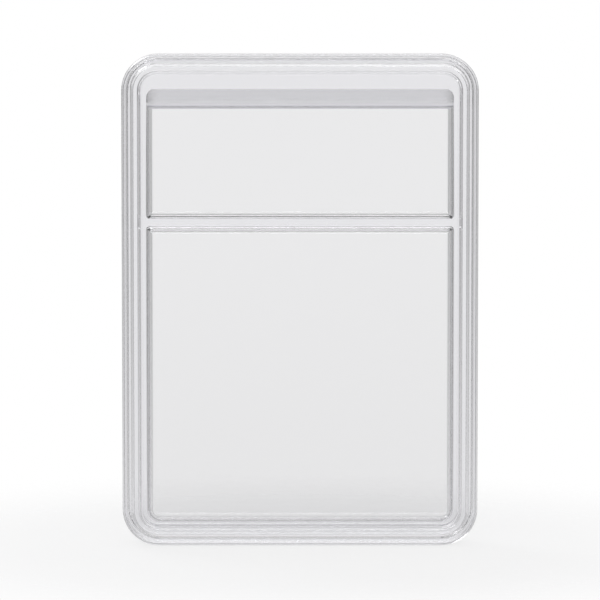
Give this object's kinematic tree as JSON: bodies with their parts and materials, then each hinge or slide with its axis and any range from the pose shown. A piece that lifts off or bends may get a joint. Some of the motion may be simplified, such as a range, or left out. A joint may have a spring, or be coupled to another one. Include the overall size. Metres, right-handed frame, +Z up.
{
  "type": "coin display slab",
  "caption": "Clear upright display slab: two half shells that press together, with a square coin pocket, a label pocket above it, and a stacking step.",
  "frame": {"origin": "middle of the footprint at the bottom edge that the closed slab stands on", "axes": "+Z up towards the label end, -Y out of the raised front window, +X to the right as seen from the front"},
  "size_m": [0.062, 0.0094, 0.0857],
  "materials": {
    "front_styrene": "injection-moulded crystal polystyrene, polished clear",
    "rear_styrene": "injection-moulded crystal polystyrene, polished clear"
  },
  "bodies": {
    "rear_half": {"rear_shell": "rear_styrene"},
    "front_half": {"front_shell": "front_styrene"}
  },
  "joints": [
    {"name": "front_lift_off", "type": "slide", "parent": "rear_half", "child": "front_half", "axis": [0, -1, 0], "range_m": [0, 0.02]}
  ]
}
